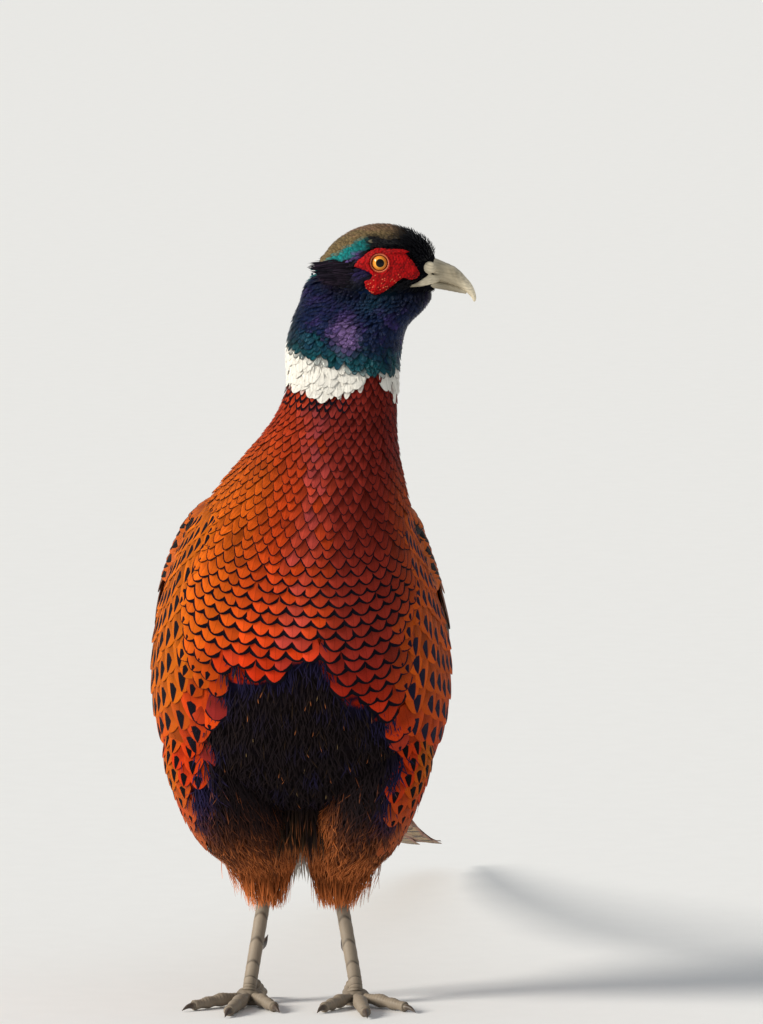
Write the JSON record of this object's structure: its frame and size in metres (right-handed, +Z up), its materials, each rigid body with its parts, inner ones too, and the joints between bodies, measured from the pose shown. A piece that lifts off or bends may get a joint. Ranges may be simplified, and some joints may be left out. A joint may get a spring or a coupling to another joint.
{
  "type": "common pheasant",
  "caption": "Life-size cock pheasant standing alert, body facing forward, head turned to its left, long tail trailing behind.",
  "frame": {"origin": "middle of the box that holds the whole bird, at the level of the floor it stands on", "axes": "the bird faces -Y, its tail trails towards +Y, its left side is +X and +Z is up"},
  "size_m": [0.1763, 0.6814, 0.4219],
  "materials": {
    "head_feathers": "short glossy feathers, olive bronze crown and black green face",
    "neck_feathers": "iridescent feathers, purple blue going to teal green",
    "collar_feathers": "white rounded feathers",
    "breast_feathers": "coppery scale like feathers with dark margins",
    "belly_feathers": "loose black brown feathers with a blue violet tinge",
    "mantle_feathers": "golden chestnut feathers with buff and black marks",
    "rump_feathers": "hair like grey green and rust feathers",
    "vent_feathers": "loose dark brown feathers",
    "wing_feathers": "overlapping buff grey and brown flight feathers and coverts",
    "tail_feathers": "long buff brown feathers with dark bars",
    "thigh_feathers": "shaggy rust brown feathers",
    "bill_horn": "smooth pale horn",
    "wattle_skin": "bare red skin with small raised bumps",
    "eye": "wet yellow orange eye with a black pupil",
    "leg_skin": "grey scaled skin",
    "claw_horn": "dark horn"
  },
  "bodies": {
    "root": {"bill_upper": "bill_horn", "bill_lower": "bill_horn", "eye_left": "eye", "wattle_left": "wattle_skin", "eye_right": "eye", "wattle_right": "wattle_skin", "head": "head_feathers", "toe_inner_left": "leg_skin", "claw_inner_left": "claw_horn", "toe_middle_left": "leg_skin", "claw_middle_left": "claw_horn", "toe_outer_left": "leg_skin", "claw_outer_left": "claw_horn", "toe_hind_left": "leg_skin", "claw_hind_left": "claw_horn", "toe_inner_right": "leg_skin", "claw_inner_right": "claw_horn", "toe_middle_right": "leg_skin", "claw_middle_right": "claw_horn", "toe_outer_right": "leg_skin", "claw_outer_right": "claw_horn", "toe_hind_right": "leg_skin", "claw_hind_right": "claw_horn", "neck": "neck_feathers", "collar": "collar_feathers", "mantle": "mantle_feathers", "rump": "rump_feathers", "vent": "vent_feathers", "belly": "belly_feathers", "breast": "breast_feathers", "wing_left": "wing_feathers", "wing_right": "wing_feathers", "tail": "tail_feathers", "thigh_left": "thigh_feathers", "tarsus_left": "leg_skin", "spur_left": "claw_horn", "thigh_right": "thigh_feathers", "tarsus_right": "leg_skin", "spur_right": "claw_horn"}
  },
  "joints": []
}
